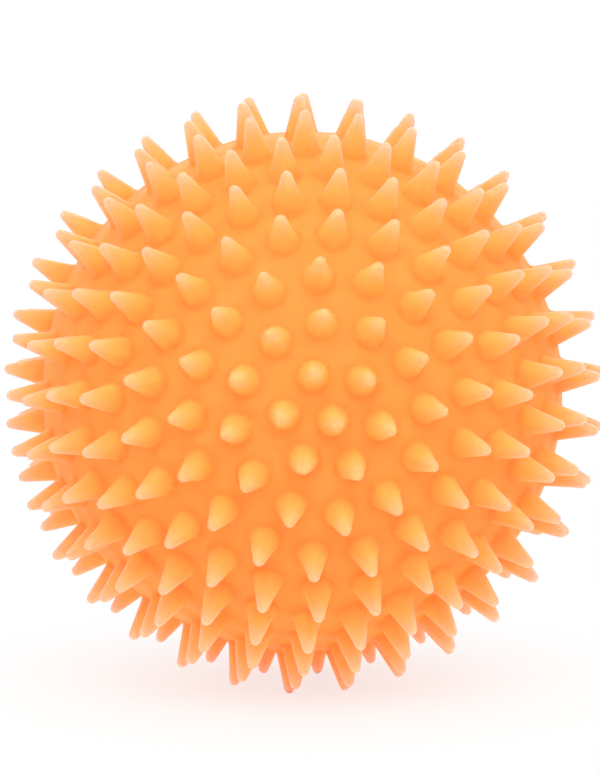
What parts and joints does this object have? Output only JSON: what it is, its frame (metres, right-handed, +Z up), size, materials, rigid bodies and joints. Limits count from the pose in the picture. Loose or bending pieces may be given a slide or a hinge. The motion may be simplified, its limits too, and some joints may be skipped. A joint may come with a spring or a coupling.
{
  "type": "spiky squeaker ball",
  "caption": "Hollow soft ball of two welded half shells covered in rings of blunt moulded cones, with a reed squeaker pressed into the rear pole.",
  "frame": {"origin": "the ball's centre, on the plane where the two half shells are welded", "axes": "+Y along the moulding axis from the front pole to the squeaker in the rear pole, +Z up as in the picture, +X to the picture's right"},
  "size_m": [0.0984, 0.097, 0.0983],
  "materials": {
    "shell": "satin, translucent",
    "squeaker": "satin",
    "reed": "thin film"
  },
  "bodies": {
    "ball": {"front_half": "shell", "rear_half": "shell", "squeaker_body": "squeaker", "squeaker_reed_bed": "squeaker", "squeaker_reed_clamp": "squeaker", "squeaker_cap": "squeaker"},
    "reed": {"squeaker_reed": "reed"}
  },
  "joints": [
    {"name": "reed_flex", "type": "hinge", "parent": "ball", "child": "reed", "pos_m": [0, 0.03554, 0], "axis": [1, 0, 0], "range_deg": [-2, 6], "stiffness_Nm_per_rad": 0.001}
  ]
}
